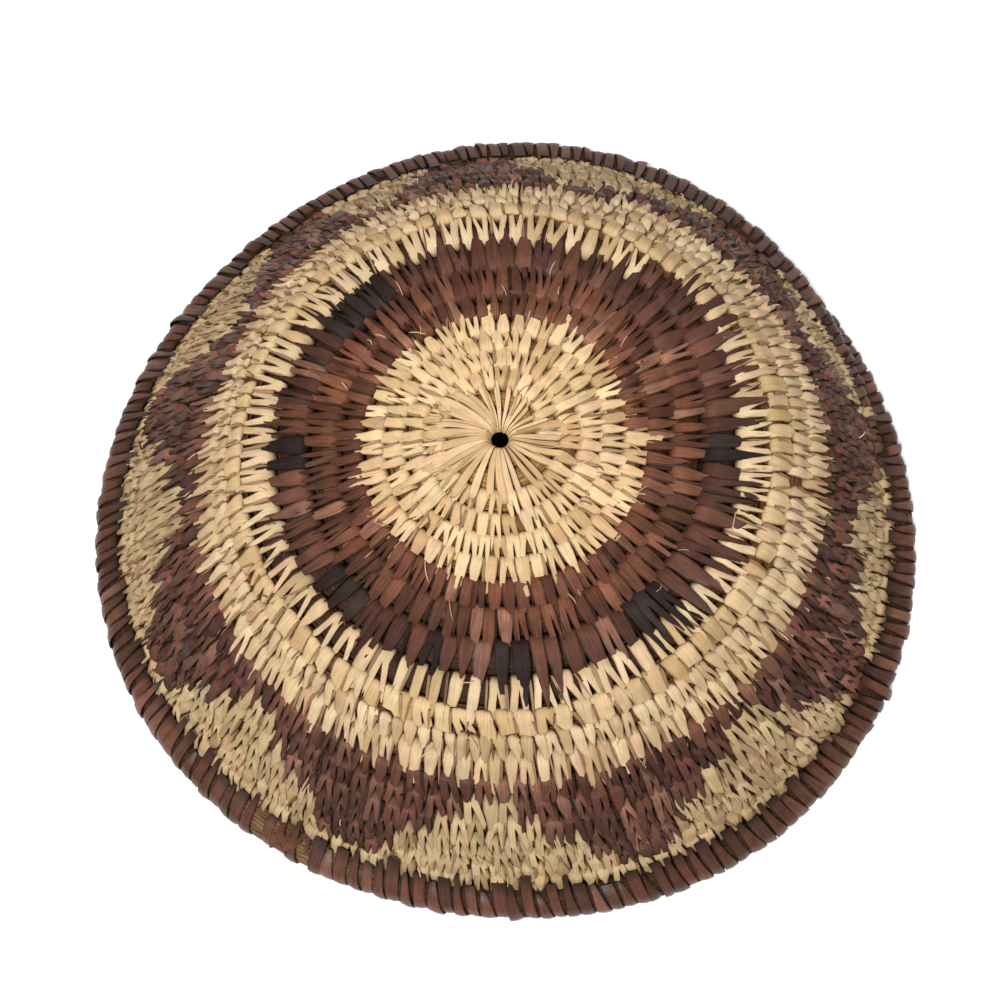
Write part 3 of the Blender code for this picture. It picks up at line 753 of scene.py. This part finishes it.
across, down, through, fan_faces, _, _ = splint_blank("fan_blank", 2, 12)
fan_end = row_edge(fan_turn + 1 + SHIFT_FROM) + FAN_PAST_ROW + chance.uniform(0, 0.0060, fan_total)
fan_end = fan_end + FAN_LONGER_BY * np.clip(np.cos(2 * math.pi * fan_turn - FAN_LONGEST), 0, 1) ** 3
fan_from = np.where(thin_strip, FAN_START + chance.uniform(0, 0.006, fan_total), FAN_START)[:, None]
fan_reach = fan_from + (fan_end[:, None] - fan_from) * down
fan_half = np.interp(down, FAN_PLACES, FAN_WIDTHS) * chance.uniform(0.75, 1.12, (fan_total, 1))
fan_half = fan_half * (1 + FAN_WIDER_BY * np.cos(2 * math.pi * fan_turn - FAN_LONGEST))[:, None]
fan_half = fan_half * np.where(thin_strip, SLIVER_SHARE, 1)[:, None]
fan_sweep = FAN_SWEEP * down + chance.normal(0, 0.010, (fan_total, 1)) * down ** 1.5
fan_angle = 2 * math.pi * (fan_turn[:, None] + across * fan_half * 0.5 / FAN_COUNT + fan_sweep)
fan_depth = np.interp(fan_reach, FAN_REACHES, FAN_DEPTHS)
fan_depth = fan_depth - through * SPLINT_THICKNESS + 0.0001 * across ** 2
fan_depth = fan_depth + chance.normal(0, 0.00022, (fan_total, 1))
fan_depth = fan_depth - 0.0003 * thin_strip[:, None] + chance.normal(0, 0.00012, (fan_total, 1)) * across
fan_points = lay(fan_angle, fan_reach, fan_depth)
fan_sheet = np.stack([across * 2 + np.arange(fan_total)[:, None] * 31, fan_reach * 1000], -1)
fan_lie = np.stack(np.broadcast_arrays(np.abs(across) * 0.93, 0.2 + 0.8 * down + 0 * fan_reach), -1)
fan_tone = tones(fan_total, NATURAL_TONES, NATURAL_SHARES, NATURAL_SPREAD)
fan_tone = np.broadcast_to(fan_tone[:, None, :], fan_reach.shape + (3,))
first_row = rows[1]
first_row["tone"] = tones(len(first_row["turn"]), NATURAL_TONES, NATURAL_SHARES, NATURAL_SPREAD)
first_row["to"] = row_edge(first_row["turn"] + 1) + INSIDE_OVERLAP
under_fan = bend_splints(first_row, SPIKE, pointed=False, inside=True)
fan = join_splints("centre_fan_splints", [(fan_points, fan_faces, fan_sheet, fan_lie, fan_tone), under_fan])
fan.data.materials.append(natural_splint)
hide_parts("centre_fan")


# The base is sewn with natural splints in four rows and then with dyed brown ones in three, whose outer
# row has some splints dyed nearly black. The brown starts and ends on the +X side.
BROWN_FROM = 6.0
BROWN_TO = 9.1333
NATURAL_BASE_TURNS = (1.5, 3 + SHIFT_FROM, 4 + SHIFT_FROM, 5 + SHIFT_FROM, BROWN_FROM)
BROWN_BASE_TURNS = (BROWN_FROM, 7 + SHIFT_FROM, 8 + SHIFT_FROM, BROWN_TO)
BLACK_RUNS = ((122, 140), (173, 184), (215, 227), (249, 253), (264, 273), (301, 311), (350, 360))
OUTER_BROWN_ROW = 8
OUTER_SPREAD = 0.07
stitch_style = style_rows(stitch_turn)
stitch_angle = (stitch_turn % 1) * 360
dye(stitch_turn < BROWN_FROM, NATURAL_TONES, NATURAL_SHARES, NATURAL_SPREAD)
for i, (start, end) in enumerate(zip(NATURAL_BASE_TURNS, NATURAL_BASE_TURNS[1:])):
    sew_piece(f"natural_base_stitches_{i + 1}", between(start, end),
              natural_splint, "natural_splint", f"natural_base_course_{i + 1}")
brown_base = between(BROWN_FROM, BROWN_TO)
dye(brown_base, BROWN_TONES, BROWN_SHARES, BROWN_SPREAD)
outer_brown = brown_base & (stitch_style >= OUTER_BROWN_ROW)
dye(outer_brown, DARK_TONES, BROWN_SHARES, OUTER_SPREAD)
for start, end in BLACK_RUNS:
    black = outer_brown & (stitch_angle > start) & (stitch_angle < end)
    dye(black, BLACK_TONES, [1, 1], BROWN_SPREAD)
for i, (start, end) in enumerate(zip(BROWN_BASE_TURNS, BROWN_BASE_TURNS[1:])):
    sew_piece(f"brown_base_stitches_{i + 1}", between(start, end),
              brown_splint, "brown_splint", f"brown_base_course_{i + 1}")


# The base's edge row has long natural stitches, and the corner row outside it is wrapped round with wide
# smooth splints. The wall starts with two rows of shorter natural stitches.
NATURAL_TO = 13.1889
natural_rows = between(BROWN_TO, NATURAL_TO)
dye(natural_rows, PALE_TONES, NATURAL_SHARES, NATURAL_SPREAD)
dye(natural_rows & (stitch_style == CORNER_ROW), TAN_TONES, NATURAL_SHARES, NATURAL_SPREAD)
dye(natural_rows & (stitch_style > CORNER_ROW), WALL_TONES, NATURAL_SHARES, NATURAL_SPREAD)
sew_piece("edge_stitches", between(BROWN_TO, 10 + SHIFT_FROM),
          natural_splint, "natural_splint", "edge_course")
sew_piece("corner_wraps", between(10 + SHIFT_FROM, 11 + SHIFT_FROM),
          natural_splint, "natural_splint", "corner_course")
sew_piece("natural_wall_stitches_1", between(11 + SHIFT_FROM, 12 + SHIFT_FROM),
          natural_splint, "natural_splint", "natural_wall_course_1")
sew_piece("natural_wall_stitches_2", between(12 + SHIFT_FROM, NATURAL_TO),
          natural_splint, "natural_splint", "natural_wall_course_2")


# Below a brown row round the wall come the figures, nine natural and nine brown triangles of stitches,
# which interlock over six rows. The natural points look to the base and the brown ones to the rim.
NATURAL_TIPS = (74, 111, 147, 184, 224, 266, 307, 346, 383)
BROWN_TIPS = (93, 126.5, 164, 205, 244.5, 286, 326, 363.5, 402.5)
HALF_TIP = 4.2
FIRST_FIGURE_ROW = 14
BROWN_WALL_TO = 14.4
FIGURE_SHARES = (0.0, 0.35, 0.7, 0.85, 0.98, 1.0)
FULLNESS = (0.82, 0.62, 1.0, 1.0, 1.0, 1.06, 1.0, 1.0, 1.0)
LATE_FIGURES = (7, 8)
JOINED_FEET = (133, 325)
NATURAL = 0
BROWN = 1
lefts = []
rights = []
for i, tip in enumerate(NATURAL_TIPS):
    brown_before = BROWN_TIPS[i - 1] if i else BROWN_TIPS[-1] - 360
    lefts.append((tip - HALF_TIP, brown_before + HALF_TIP))
    rights.append((tip + HALF_TIP, BROWN_TIPS[i] - HALF_TIP))
figure_of = np.full(len(stitch_turn), -1)
colour_of = np.full(len(stitch_turn), NATURAL)
for row in range(len(FIGURE_SHARES)):
    degrees = (stitch_turn - FIRST_FIGURE_ROW - row) * 360
    sides = []
    for i, tip in enumerate(NATURAL_TIPS):
        late = i in LATE_FIGURES
        if late and row == 0:
            sides += [tip, tip]
            continue
        share = FIGURE_SHARES[row - late] * FULLNESS[i]
        sides.append(lefts[i][0] + (lefts[i][1] - lefts[i][0]) * share)
        sides.append(rights[i][0] + (rights[i][1] - rights[i][0]) * share)
    sides.append(sides[0] + 360)
    for i in range(len(sides) - 1):
        inside = (degrees >= sides[i]) & (degrees < sides[i + 1]) & (stitch_turn < RIM_FROM)
        figure_of[inside] = i // 2
        colour_of[inside] = i % 2
foot = between(RIM_ROW - 1 + JOINED_FEET[0] / 360, RIM_ROW - 1 + JOINED_FEET[1] / 360)
colour_of[foot] = NATURAL
brown_wall = between(NATURAL_TO, BROWN_WALL_TO) & (figure_of < 0)
dye(brown_wall, DARK_TONES, BROWN_SHARES, BROWN_SPREAD)
sew_piece("brown_wall_stitches", brown_wall, brown_splint, "brown_splint", "brown_wall_course")
for i in range(len(NATURAL_TIPS)):
    natural = (figure_of == i) & (colour_of == NATURAL)
    dye(natural, DULL_TONES, NATURAL_SHARES, NATURAL_SPREAD)
    sew_piece(f"natural_figure_stitches_{i + 1}", natural, natural_splint, "natural_splint",
              f"natural_figure_{i + 1}")
    brown = (figure_of == i) & (colour_of == BROWN)
    dye(brown, DARK_TONES, BROWN_SHARES, BROWN_SPREAD)
    sew_piece(f"brown_figure_stitches_{i + 1}", brown, brown_splint, "brown_splint",
              f"brown_figure_{i + 1}")


# The rim is the thickest turn of the bundle, wrapped close with wide brown splints that come up through
# the last row of the wall, go round outside and underneath and end inside the bowl. Some are missing in
# one place, where the stems of the bundle lie bare.
BARE_PLACES = ((231.6, 233.3), (235.0, 236.3), (238.3, 239.8))
LOOSE_WRAP = 327
LOOSE_LIFT = 0.0012
WRAP_PLACES = [0, 0.1, 0.9, 1]
WRAP_DEGREES = [150, 128, -125, -150]
WRAP_SINK = 0.0002
WRAP_ROUNDING = 0.0003
START_BACK = 0.0043
START_SPREAD = 0.014
START_UP = 0.0004
FINISH_BACK = 0.002
WRAP_LEAN = 0.0060
WRAP_LIFT = 1.3
WRAP_TILT = 1.4
TUCKED = 0.1
OVER_PLACES = [0, 0.08, 0.22, 0.4, 1]
OVER_WIDTHS = [0.34, 0.54, 0.84, 0.98, 0.9]
UNDER_WIDTH = 0.8
on_rim = (stitch_turn >= RIM_FROM) & (figure_of < 0)
for start, end in BARE_PLACES:
    on_rim &= (stitch_angle < start) | (stitch_angle > end)
rim = pick(stitches, on_rim)
rim_count = len(rim["turn"])
rim["tone"] = tones(rim_count, RIM_TONES, BROWN_SHARES, BROWN_SPREAD)
loose_wrap = np.argmin(np.abs((rim["turn"] % 1) * 360 - LOOSE_WRAP))
rim["lift"][loose_wrap] = LOOSE_LIFT
across, down, through, rim_faces, _, _ = splint_blank("rim_blank", 2, 14)
rim_turn = rim["turn"][:, None]
rim_edge = row_edge(rim_turn)
rim_width = row_edge(rim_turn + 1) - rim_edge
rim_thick = np.minimum(along_coil(rim_turn, ROW_THICKNESS), rim_width)
around = np.radians(np.interp(down, WRAP_PLACES, WRAP_DEGREES))
under = (np.arange(rim_count) % 2)[:, None]
swell = rim_thick / 2 - WRAP_SINK + through * SPLINT_THICKNESS
swell = swell + rim["lift"][:, None] * WRAP_LIFT + rim["tilt"][:, None] * across * WRAP_TILT
swell = swell - WRAP_ROUNDING * under - WRAP_ROUNDING * across ** 2
wrap_start = np.clip(1 - down / TUCKED, 0, 1)
wrap_finish = np.clip((down - (1 - TUCKED)) / TUCKED, 0, 1)
rim_reach = rim_edge + rim_width / 2 + swell * np.cos(around)
tucked_in = START_BACK + rim["cut"][:, None] * START_SPREAD
rim_reach = rim_reach - tucked_in * wrap_start - FINISH_BACK * wrap_finish
rim_depth = along_coil(rim_turn, ROW_DEPTH) - swell * np.sin(around) - START_UP * wrap_start
lean = (WRAP_LEAN + rim["left_tip"][:, None]) * (down - 0.3)
over_width = np.interp(down, OVER_PLACES, OVER_WIDTHS)
rim_half = rim["width"][:, None] / 2 * np.where(under, UNDER_WIDTH, over_width)
rim_angle = 2 * math.pi * rim_turn + (lean + across * rim_half) / bowl_surface(rim_reach)[0]
rim_points = lay(rim_angle, rim_reach, rim_depth)
rim_sheet = np.stack([across * 3 + rim["mark"][:, None] * MARK_ACROSS, down * 34 + 0 * rim_turn], -1)
rim_lie = np.stack(np.broadcast_arrays(np.abs(across), down + 0 * rim_reach), -1)
rim_tone = np.broadcast_to(rim["tone"][:, None, :], rim_reach.shape + (3,))
rim_wraps = join_splints("rim_wraps", [(rim_points, rim_faces, rim_sheet, rim_lie, rim_tone)])
rim_wraps.data.materials.append(rim_splint)
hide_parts("rim_binding")


# Fine hairs and strips have split off the splints and lie loose on the work, pale ones on the brown.
# Where rim wraps are missing, a tuft of broken brown splints is left.
FIBRE_COUNT = 146
TUFT_COUNT = 16
TUFT_TURN = 20 + 236.6 / 360
TUFT_WIDTH = 4.5
FIBRE_THICKNESS = 0.0002
FIBRE_LIFT = 0.0008
FIBRE_ARCH = 0.0006
PALE_TURNS = (5.5, 9.3)
in_tuft = np.arange(FIBRE_COUNT)[:, None] >= FIBRE_COUNT - TUFT_COUNT
across, down, through, fibre_faces, _, _ = splint_blank("fibre_blank", 1, 6)
fibre_turn = chance.uniform(2, 20, FIBRE_COUNT)[:, None]
fibre_turn = np.where(in_tuft, TUFT_TURN + chance.normal(0, 0.0035, (FIBRE_COUNT, 1)), fibre_turn)
fibre_reach = row_edge(fibre_turn) + chance.uniform(0, 0.006, (FIBRE_COUNT, 1))
heading = chance.normal(0.2, 0.55, (FIBRE_COUNT, 1))
along = chance.uniform(0.003, 0.008, (FIBRE_COUNT, 1)) * (down - 0.5)
curl = chance.normal(0, 0.0004, (FIBRE_COUNT, 1)) * np.sin(math.pi * down)
fibre_half = chance.uniform(0.0001, 0.0002, (FIBRE_COUNT, 1)) * np.where(in_tuft, TUFT_WIDTH, 1)
fibre_side = fibre_half * across * np.where(down > 1 - SAME, 0.3, 1) + curl
reach = fibre_reach + along * np.cos(heading) - fibre_side * np.sin(heading)
offset = along * np.sin(heading) + fibre_side * np.cos(heading)
fibre_angle = 2 * math.pi * fibre_turn + offset / bowl_surface(reach)[0]
fibre_depth = outside_depth(fibre_turn, reach) - FIBRE_LIFT - FIBRE_ARCH * np.sin(math.pi * down)
fibre_points = lay(fibre_angle, reach, fibre_depth - through * FIBRE_THICKNESS)
fibre_sheet = np.stack([across + 31 * np.arange(FIBRE_COUNT)[:, None], along * 1000 + 0 * across], -1)
fibre_lie = np.stack(np.broadcast_arrays(0 * down, 0.3 + 0 * reach), -1)
on_brown = (fibre_turn[:, 0] > PALE_TURNS[0]) & (fibre_turn[:, 0] < PALE_TURNS[1])
pale = on_brown | (chance.uniform(0, 1, FIBRE_COUNT) < 0.5)
fibre_tone = np.where(pale[:, None], colour(205, 172, 140), colour(120, 84, 60))
fibre_tone = np.where(in_tuft, colour(92, 57, 42), fibre_tone) * chance.uniform(0.7, 1.1, (FIBRE_COUNT, 1))
fibre_tone = np.broadcast_to(fibre_tone[:, None, :], reach.shape + (3,))
fibres = join_splints("loose_fibres", [(fibre_points, fibre_faces, fibre_sheet, fibre_lie, fibre_tone)])
fibres.data.materials.append(natural_splint)


# The bowl rests upside down on a plain white floor. Its main light comes from the near left and a weaker
# one from the far right, and the camera looks steeply down from the near side, as in the photograph.
FLOOR_LIGHTEST = 0.95
FLOOR_DARKEST = 0.93
WORLD_STRENGTH = 0.36
bpy.ops.object.select_all(action="DESELECT")
bpy.ops.mesh.primitive_plane_add(size=6, location=(0, 0, 0))
floor = bpy.context.object
floor.name = "floor"
floor_material, nodes, links, shader = new_material("white_floor", 0.9)
grain = nodes.new("ShaderNodeTexNoise")
grain.inputs["Scale"].default_value = 30
tint = nodes.new("ShaderNodeMapRange")
tint.inputs["To Min"].default_value = FLOOR_DARKEST
tint.inputs["To Max"].default_value = FLOOR_LIGHTEST
place = nodes.new("ShaderNodeTexCoord")
links.new(place.outputs["Object"], grain.inputs["Vector"])
links.new(grain.outputs["Fac"], tint.inputs["Value"])
links.new(tint.outputs["Result"], shader.inputs["Base Color"])
floor.data.materials.append(floor_material)

world = bpy.data.worlds.new("studio")
world.use_nodes = True
world.node_tree.nodes["Background"].inputs["Color"].default_value = (1, 1, 1, 1)
world.node_tree.nodes["Background"].inputs["Strength"].default_value = WORLD_STRENGTH
bpy.context.scene.world = world


def add_lamp(name, place, aim, size, power):
    """A round lamp of a size in metres and a power in watts, turned to what it lights."""
    lamp = bpy.data.lights.new(name, "AREA")
    lamp.shape = "DISK"
    lamp.size = size
    lamp.energy = power
    lamp_object = bpy.data.objects.new(name, lamp)
    lamp_object.location = place
    lamp_object.rotation_euler = (Vector(aim) - Vector(place)).to_track_quat("-Z", "Y").to_euler()
    bpy.context.scene.collection.objects.link(lamp_object)


LIGHT_AIM = (0, 0, 0.03)
add_lamp("window_light", place=(-0.42, -0.72, 1.46), aim=LIGHT_AIM, size=0.35, power=27)
add_lamp("room_light", place=(0.5, 0.7, 1.5), aim=LIGHT_AIM, size=1.0, power=7)

CAMERA_LIFT = math.radians(71.48)
CAMERA_DISTANCE = 0.45477
CAMERA_ROLL = math.radians(2.88)
CAMERA_TILT = math.radians(-0.07)
CAMERA_PAN = math.radians(0.35)
FITTED_TOP = 0.0623728
camera_back = CAMERA_DISTANCE * math.cos(CAMERA_LIFT)
camera_up = CAMERA_DISTANCE * math.sin(CAMERA_LIFT)
camera_place = Vector((0, -camera_back, camera_up))
forward = -camera_place.normalized()
right = Vector((1, 0, 0))
up = right.cross(forward)
turned = (Matrix.Rotation(CAMERA_ROLL, 3, forward) @ Matrix.Rotation(CAMERA_TILT, 3, right)
          @ Matrix.Rotation(CAMERA_PAN, 3, up))
axes = [turned @ right, turned @ up, -(turned @ forward)]
camera = bpy.data.cameras.new("camera")
camera.lens = 39.77
camera.sensor_width = 36
camera.clip_start = 0.01
camera_object = bpy.data.objects.new("camera", camera)
camera_place.z -= FITTED_TOP - base_top
camera_object.matrix_world = Matrix.Translation(camera_place) @ Matrix(axes).transposed().to_4x4()
bpy.context.scene.collection.objects.link(camera_object)
bpy.context.scene.camera = camera_object
bpy.context.scene.view_settings.view_transform = "Standard"
